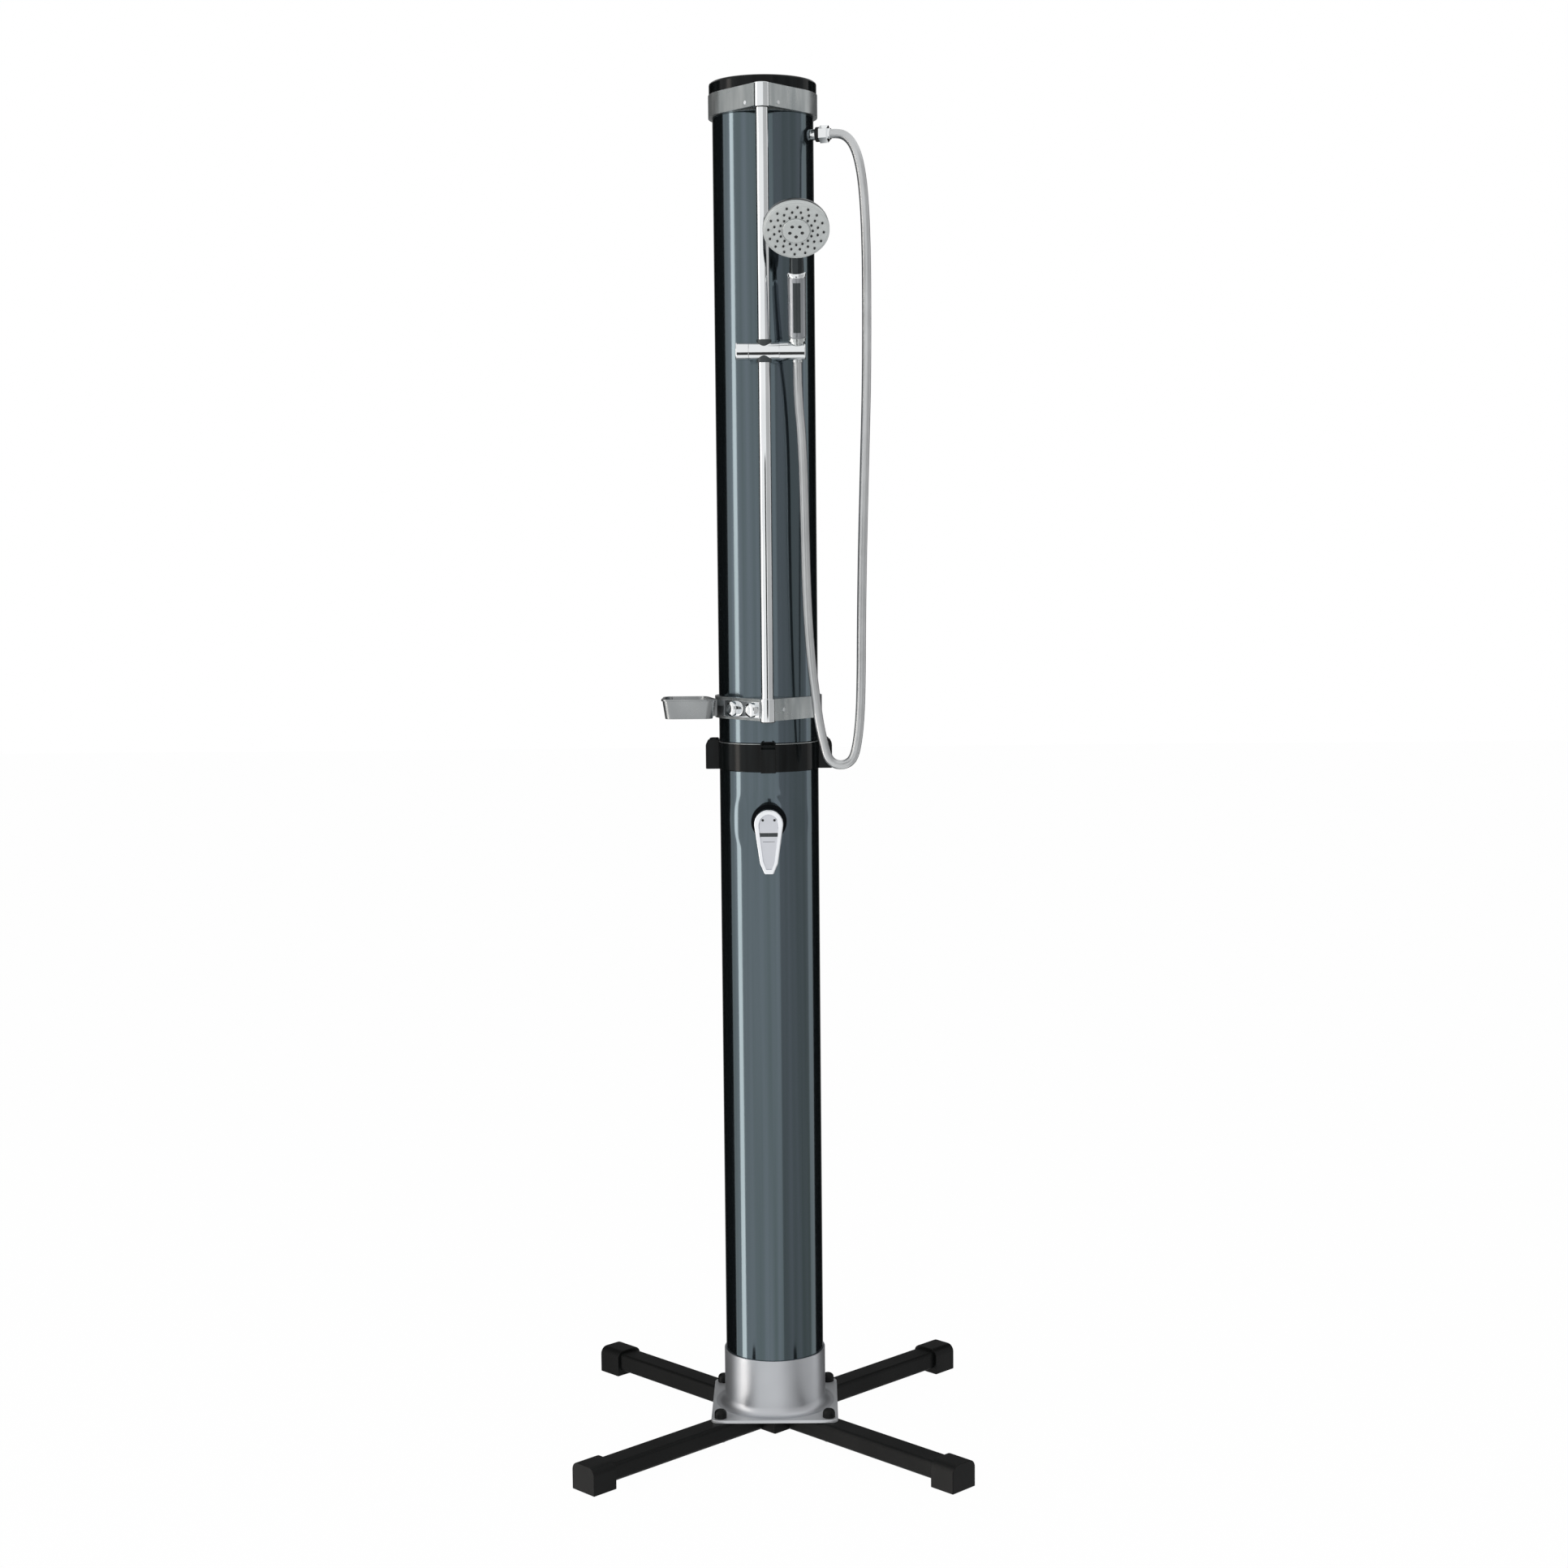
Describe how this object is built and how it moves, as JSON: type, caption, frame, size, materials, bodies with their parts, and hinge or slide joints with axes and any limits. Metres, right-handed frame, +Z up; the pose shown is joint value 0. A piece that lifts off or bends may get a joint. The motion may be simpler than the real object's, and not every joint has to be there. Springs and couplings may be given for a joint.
{
  "type": "outdoor shower post",
  "caption": "Free-standing outdoor shower: tall round water tube on a crossed foot, with slide rail, hand shower on a hose, lever mixer and soap dish.",
  "frame": {"origin": "on the floor, on the axis of the post, in the middle of the four feet", "axes": "+Z up along the post, -Y the front where the slide rail and the mixer stand, +X to the right as seen from the front"},
  "size_m": [0.6226, 0.6226, 2.18],
  "materials": {
    "tube_grey": "gloss",
    "cap_black": "gloss",
    "leg_black": "satin",
    "foot_black": "satin",
    "sleeve_steel": "satin",
    "zinc_steel": "satin",
    "chrome": "mirror",
    "lever_satin": "satin",
    "hose_silver": "gloss",
    "trim_black": "gloss",
    "dark_rubber": "matte",
    "jet_plate": "gloss",
    "inner_plastic": "matte",
    "brass": "satin",
    "pipe_white": "matte"
  },
  "bodies": {
    "post": {"lower_tube": "tube_grey", "upper_tube": "tube_grey", "top_cap": "cap_black", "union_nut": "cap_black", "foot_hub": "leg_black", "leg_front_left": "leg_black", "leg_front_right": "leg_black", "leg_rear_left": "leg_black", "leg_rear_right": "leg_black", "foot_cap_front_left": "foot_black", "foot_cap_front_right": "foot_black", "foot_cap_rear_left": "foot_black", "foot_cap_rear_right": "foot_black", "bolt_caps": "foot_black", "base_sleeve": "sleeve_steel", "foot_bolts": "zinc_steel", "foot_nuts": "zinc_steel", "bracket_screws": "zinc_steel", "upper_bracket": "chrome", "lower_bracket": "chrome", "slide_rail": "chrome", "outlet_nipple": "chrome", "hose_nut": "chrome", "soap_dish": "chrome", "dish_arm": "chrome", "arm_caps": "chrome", "cartridge_cover": "chrome", "shower_hose": "hose_silver", "outlet_washer": "dark_rubber", "coupler_seal": "dark_rubber", "base_plug": "inner_plastic", "top_plug": "inner_plastic", "lower_coupler": "inner_plastic", "upper_coupler": "inner_plastic", "mixer_cartridge": "inner_plastic", "mixer_body": "brass", "inlet_nipple": "brass", "inlet_locknut": "brass", "outlet_locknut": "brass", "cold_pipe": "pipe_white", "hot_pipe": "pipe_white", "mixed_pipe": "pipe_white"},
    "slide_carrier": {"slider_bush": "inner_plastic"},
    "slider": {"slider_body": "chrome"},
    "clamp": {"clamp_knob": "chrome"},
    "holder": {"handset_holder": "chrome"},
    "handset": {"hose_cone": "chrome", "handset_handle": "chrome", "handle_inlay": "trim_black", "neck_ring": "chrome", "handset_head": "chrome"},
    "spray_plate": {"spray_dial": "chrome", "spray_nozzles": "dark_rubber", "jet_plate": "jet_plate"},
    "mixer_stem": {"mixer_spindle": "brass", "lever_pin": "zinc_steel"},
    "lever": {"mixer_lever": "lever_satin", "temperature_marks": "trim_black"}
  },
  "joints": [
    {"name": "slider_slide", "type": "slide", "parent": "post", "child": "slide_carrier", "axis": [0, 0, 1], "range_m": [-0.52, 0.35], "deforming": ["shower_hose"]},
    {"name": "slider_turn", "type": "hinge", "parent": "slide_carrier", "child": "slider", "pos_m": [0, -0.115, 1.754], "axis": [0, 0, 1], "range_deg": [-20, 20], "deforming": ["shower_hose"]},
    {"name": "clamp_turn", "type": "hinge", "parent": "slider", "child": "clamp", "pos_m": [-0.034, -0.115, 1.754], "axis": [1, 0, 0], "range_deg": [0, 180]},
    {"name": "holder_tilt", "type": "hinge", "parent": "slider", "child": "holder", "pos_m": [0.045, -0.115, 1.754], "axis": [1, 0, 0], "range_deg": [-8, 40], "deforming": ["shower_hose"]},
    {"name": "handset_lift", "type": "slide", "parent": "holder", "child": "handset", "axis": [0, -0.309, 0.9511], "range_m": [0, 0.06], "deforming": ["shower_hose"]},
    {"name": "spray_dial_turn", "type": "hinge", "parent": "handset", "child": "spray_plate", "pos_m": [0.0515, -0.20702, 1.92493], "axis": [0, -0.7431, -0.6691], "range_deg": [-60, 60]},
    {"name": "mixer_temperature", "type": "hinge", "parent": "post", "child": "mixer_stem", "pos_m": [0, -0.096, 1.017], "axis": [0, -1, 0], "range_deg": [-45, 45]},
    {"name": "mixer_lift", "type": "hinge", "parent": "mixer_stem", "child": "lever", "pos_m": [0, -0.096, 1.017], "axis": [-1, 0, 0], "range_deg": [0, 20]}
  ]
}
